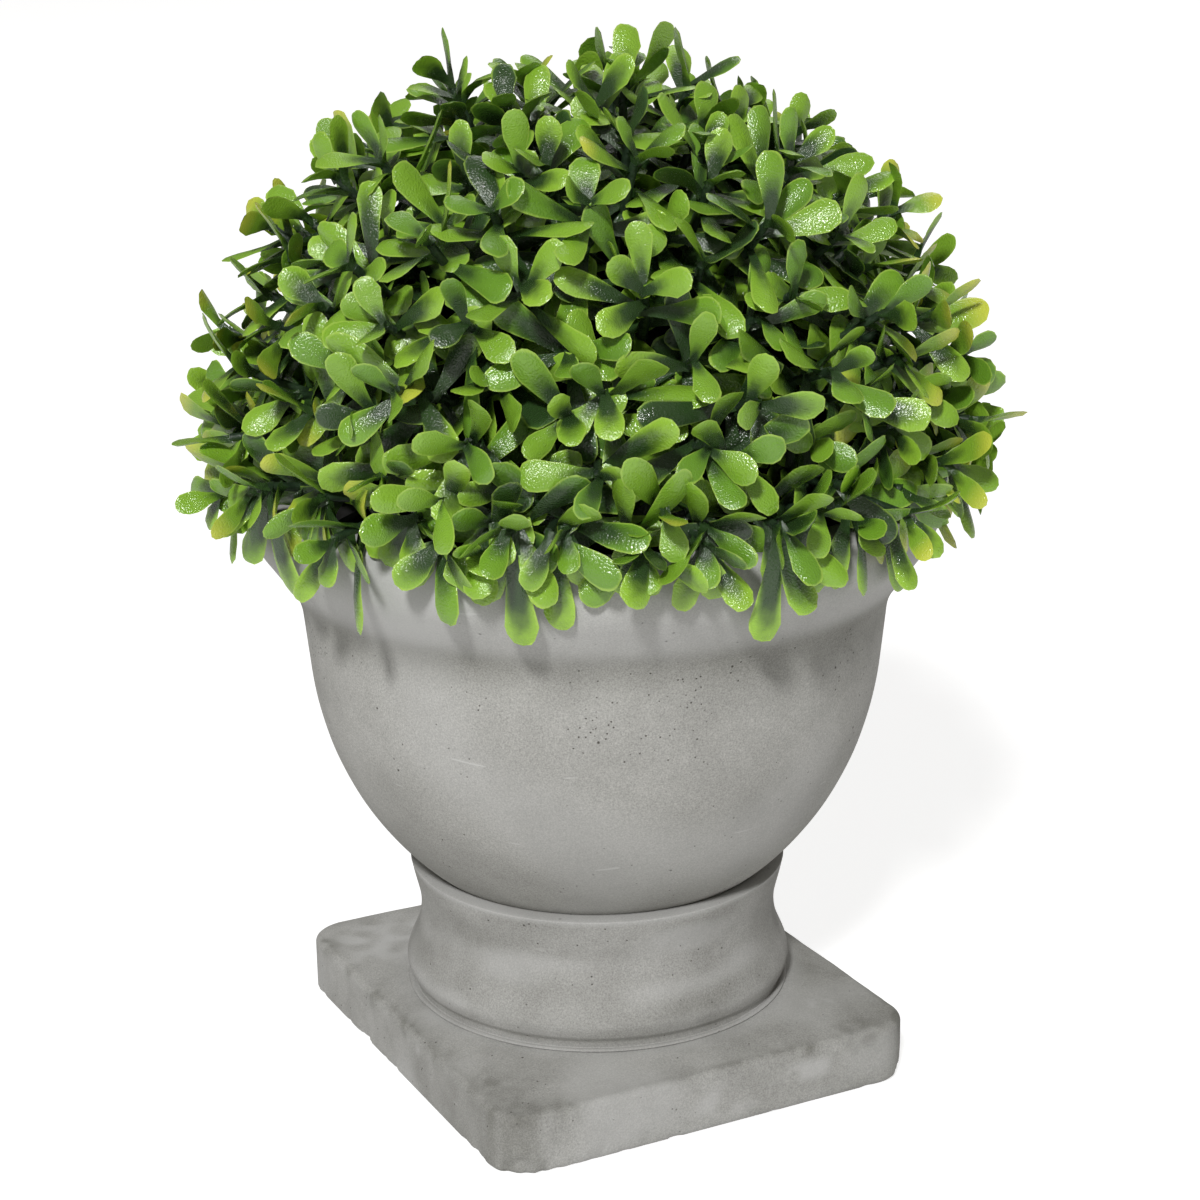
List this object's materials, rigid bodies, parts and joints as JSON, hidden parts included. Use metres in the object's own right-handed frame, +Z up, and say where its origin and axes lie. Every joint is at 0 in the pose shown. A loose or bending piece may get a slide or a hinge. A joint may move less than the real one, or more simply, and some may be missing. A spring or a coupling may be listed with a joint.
{
  "type": "artificial boxwood ball in a cement urn",
  "caption": "Small artificial boxwood ball in a round cement pedestal urn on an oblong plinth, a table-top ornament.",
  "frame": {"origin": "centre of the plinth's flat underside, which stands on the table", "axes": "+Z up through the middle of the urn and the ball, X along the plinth's shorter side and Y along its longer side"},
  "size_m": [0.154, 0.153, 0.1865],
  "materials": {
    "cement": "matte",
    "pale_cement": "matte",
    "foam": "matte",
    "stalk": "matte",
    "foliage": "satin"
  },
  "bodies": {
    "root": {"plinth": "pale_cement", "collar": "pale_cement", "bowl": "cement", "fill": "foam", "stem": "stalk", "crown": "foliage"}
  },
  "joints": []
}
